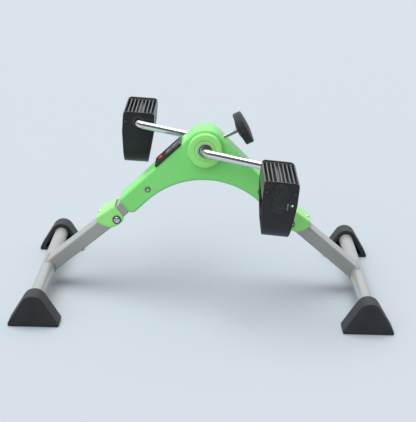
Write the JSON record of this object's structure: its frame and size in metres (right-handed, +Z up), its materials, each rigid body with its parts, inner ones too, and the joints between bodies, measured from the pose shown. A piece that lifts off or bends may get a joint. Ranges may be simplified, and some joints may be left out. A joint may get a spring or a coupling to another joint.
{
  "type": "folding pedal exerciser",
  "caption": "Green folding pedal exerciser: arched housing, bent crank with strap pedals, tension knob, counter, and hinged legs on rubber-footed cross tubes.",
  "frame": {"origin": "on the floor, midway between the feet, under the crank axle", "axes": "+X along the length from leg to leg, -Y towards the front with the near pedal, +Z up"},
  "size_m": [0.54, 0.38, 0.2732],
  "materials": {
    "green_plastic": "satin moulded",
    "lime_plastic": "satin moulded",
    "painted_tube": "silver paint",
    "chrome": "bright plated",
    "steel": "zinc plated",
    "black_plastic": "fine grain",
    "rubber": "matt",
    "red_plastic": "gloss",
    "display": "clear window over a display",
    "circuit_board": "solder resist"
  },
  "bodies": {
    "housing": {"front_shell": "green_plastic", "rear_shell": "green_plastic", "front_hub_ring": "lime_plastic", "rear_hub_ring": "lime_plastic", "front_bearing": "steel", "rear_bearing": "steel", "left_shell_screw": "chrome", "right_shell_screw": "chrome", "left_shell_nut": "steel", "right_shell_nut": "steel", "left_neck_tube": "painted_tube", "right_neck_tube": "painted_tube", "tension_block": "black_plastic", "meter_case": "black_plastic", "meter_lens": "display", "meter_board": "circuit_board", "meter_cell": "steel", "reed_switch": "black_plastic"},
    "button": {"meter_button": "red_plastic"},
    "crank": {"crank_rod": "chrome", "friction_drum": "steel", "crank_magnet": "chrome", "near_spindle_clip": "steel", "far_spindle_clip": "steel"},
    "near_pedal": {"near_pedal_core": "black_plastic", "near_strap": "black_plastic", "near_pedal_cap": "black_plastic", "near_pedal_screw_1": "steel", "near_pedal_screw_2": "steel", "near_pedal_screw_3": "steel", "near_pedal_screw_4": "steel"},
    "far_pedal": {"far_pedal_core": "black_plastic", "far_strap": "black_plastic", "far_pedal_cap": "black_plastic", "far_pedal_screw_1": "steel", "far_pedal_screw_2": "steel", "far_pedal_screw_3": "steel", "far_pedal_screw_4": "steel"},
    "shoe": {"brake_shoe": "black_plastic"},
    "knob": {"tension_screw": "chrome", "tension_knob": "black_plastic"},
    "left_leg": {"left_leg_tube": "painted_tube", "left_cross_tube": "painted_tube", "left_hinge_cap": "lime_plastic", "left_hinge_bolt": "chrome", "left_hinge_nut": "steel", "left_lock_spring": "steel", "left_foot_front": "rubber", "left_foot_rear": "rubber"},
    "left_lock": {"left_lock_button": "chrome"},
    "right_leg": {"right_leg_tube": "painted_tube", "right_cross_tube": "painted_tube", "right_hinge_cap": "lime_plastic", "right_hinge_bolt": "chrome", "right_hinge_nut": "steel", "right_lock_spring": "steel", "right_foot_front": "rubber", "right_foot_rear": "rubber"},
    "right_lock": {"right_lock_button": "chrome"}
  },
  "joints": [
    {"name": "crank_spin", "type": "hinge", "parent": "housing", "child": "crank", "pos_m": [0, 0, 0.22], "axis": [0, 1, 0], "continuous": true},
    {"name": "near_pedal_spin", "type": "hinge", "parent": "crank", "child": "near_pedal", "pos_m": [0.10439, 0, 0.20159], "axis": [0, 1, 0], "continuous": true},
    {"name": "far_pedal_spin", "type": "hinge", "parent": "crank", "child": "far_pedal", "pos_m": [-0.10439, 0, 0.23841], "axis": [0, 1, 0], "continuous": true},
    {"name": "left_leg_fold", "type": "hinge", "parent": "housing", "child": "left_leg", "pos_m": [-0.13, 0, 0.10905], "axis": [0, -1, 0], "range_deg": [0, 90]},
    {"name": "right_leg_fold", "type": "hinge", "parent": "housing", "child": "right_leg", "pos_m": [0.13, 0, 0.10905], "axis": [0, 1, 0], "range_deg": [0, 90]},
    {"name": "left_lock_press", "type": "slide", "parent": "left_leg", "child": "left_lock", "axis": [0.6358, 0, -0.7718], "range_m": [0, 0.003], "stiffness_N_per_m": 1500, "springref_m": -0.002},
    {"name": "right_lock_press", "type": "slide", "parent": "right_leg", "child": "right_lock", "axis": [-0.6358, 0, -0.7718], "range_m": [0, 0.003], "stiffness_N_per_m": 1500, "springref_m": -0.002},
    {"name": "meter_button_press", "type": "slide", "parent": "housing", "child": "button", "axis": [0.6934, 0, -0.7206], "range_m": [0, 0.001], "stiffness_N_per_m": 800, "springref_m": -0.001},
    {"name": "shoe_slide", "type": "slide", "parent": "housing", "child": "shoe", "axis": [0.887, 0, 0.4618], "range_m": [0, 0.004]},
    {"name": "knob_turn", "type": "hinge", "parent": "shoe", "child": "knob", "pos_m": [0, 0, 0.22], "axis": [0.887, 0, 0.4618], "range_deg": [0, 1432]}
  ],
  "couplings": [
    {"joint": "shoe_slide", "follows": "knob_turn", "m_per_rad": 0.00015915}
  ]
}
